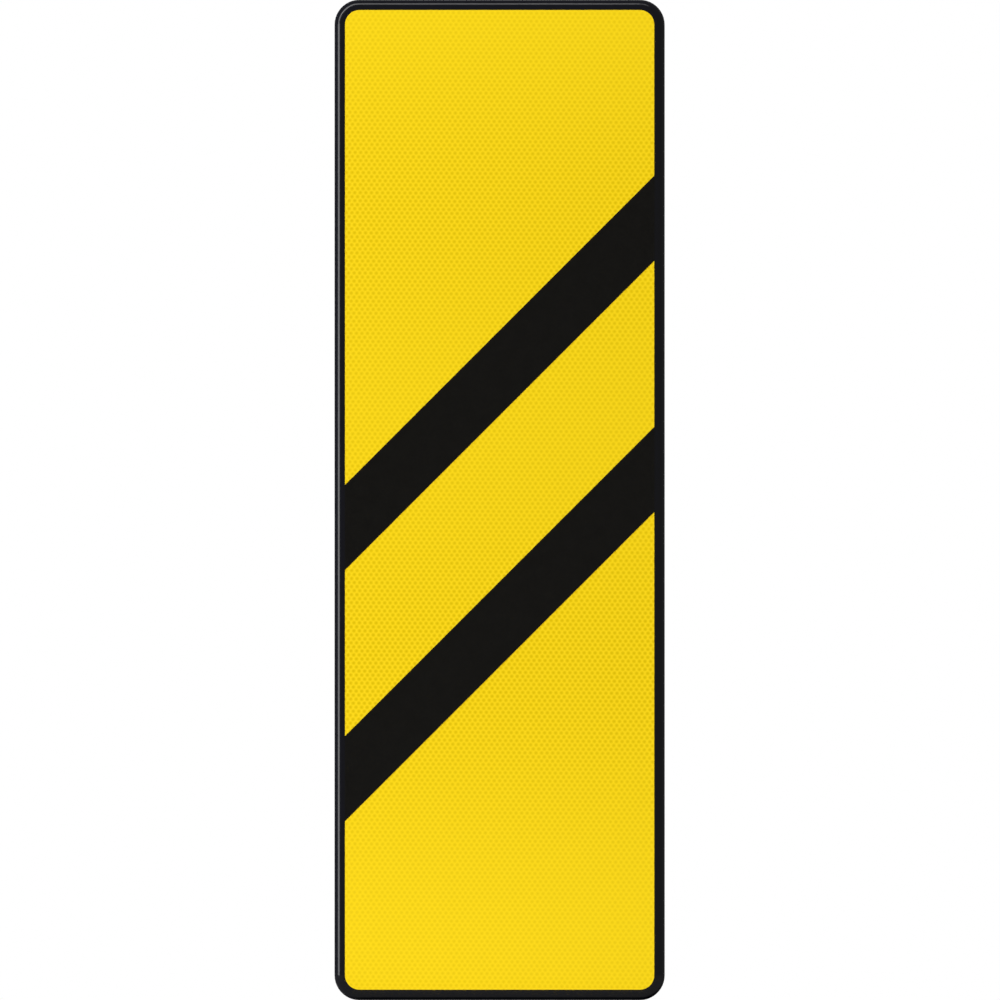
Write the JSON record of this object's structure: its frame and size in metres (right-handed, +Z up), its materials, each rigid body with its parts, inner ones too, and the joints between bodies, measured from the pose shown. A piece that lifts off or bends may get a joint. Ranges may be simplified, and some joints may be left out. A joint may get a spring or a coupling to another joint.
{
  "type": "warning beacon",
  "caption": "Road warning beacon: tall yellow reflective marker board with black diagonal stripes, a black folded aluminium rim, and adjustable rear brackets that clamp it to a round post",
  "frame": {"origin": "on the axis of the post that the board is clamped to, halfway between the brackets", "axes": "+Z up along the post; the face looks along -Y; +X is to the right seen from the front"},
  "size_m": [0.33, 0.0919, 1],
  "materials": {
    "black_coated_aluminium": "satin",
    "yellow_sheeting": "satin",
    "black_film": "satin",
    "galvanised_steel": "satin",
    "cast_aluminium": "matte",
    "stainless_steel": "satin"
  },
  "bodies": {
    "sign": {"sign_panel": "black_coated_aluminium", "yellow_sheeting": "yellow_sheeting", "upper_stripe": "black_film", "lower_stripe": "black_film"},
    "upper_bracket": {"upper_cross_bar": "galvanised_steel", "upper_left_lip_claw": "cast_aluminium", "upper_left_claw_bolt": "stainless_steel", "upper_right_lip_claw": "cast_aluminium", "upper_right_claw_bolt": "stainless_steel"},
    "upper_clamp": {"upper_clamp_saddle": "cast_aluminium", "upper_left_clamp_bolt": "stainless_steel", "upper_right_clamp_bolt": "stainless_steel"},
    "upper_strap": {"upper_clamp_strap": "galvanised_steel", "upper_left_clamp_washer": "stainless_steel", "upper_left_clamp_nut": "stainless_steel", "upper_right_clamp_washer": "stainless_steel", "upper_right_clamp_nut": "stainless_steel"},
    "lower_bracket": {"lower_cross_bar": "galvanised_steel", "lower_left_lip_claw": "cast_aluminium", "lower_left_claw_bolt": "stainless_steel", "lower_right_lip_claw": "cast_aluminium", "lower_right_claw_bolt": "stainless_steel"},
    "lower_clamp": {"lower_clamp_saddle": "cast_aluminium", "lower_left_clamp_bolt": "stainless_steel", "lower_right_clamp_bolt": "stainless_steel"},
    "lower_strap": {"lower_clamp_strap": "galvanised_steel", "lower_left_clamp_washer": "stainless_steel", "lower_left_clamp_nut": "stainless_steel", "lower_right_clamp_washer": "stainless_steel", "lower_right_clamp_nut": "stainless_steel"}
  },
  "joints": [
    {"name": "upper_bracket_slide", "type": "slide", "parent": "sign", "child": "upper_bracket", "axis": [0, 0, 1], "range_m": [-0.25, 0.15]},
    {"name": "upper_clamp_slide", "type": "slide", "parent": "upper_bracket", "child": "upper_clamp", "axis": [1, 0, 0], "range_m": [-0.025, 0.025]},
    {"name": "upper_strap_open", "type": "slide", "parent": "upper_clamp", "child": "upper_strap", "axis": [0, 1, 0], "range_m": [0, 0.006]},
    {"name": "lower_bracket_slide", "type": "slide", "parent": "sign", "child": "lower_bracket", "axis": [0, 0, 1], "range_m": [-0.15, 0.25]},
    {"name": "lower_clamp_slide", "type": "slide", "parent": "lower_bracket", "child": "lower_clamp", "axis": [1, 0, 0], "range_m": [-0.025, 0.025]},
    {"name": "lower_strap_open", "type": "slide", "parent": "lower_clamp", "child": "lower_strap", "axis": [0, 1, 0], "range_m": [0, 0.006]}
  ]
}
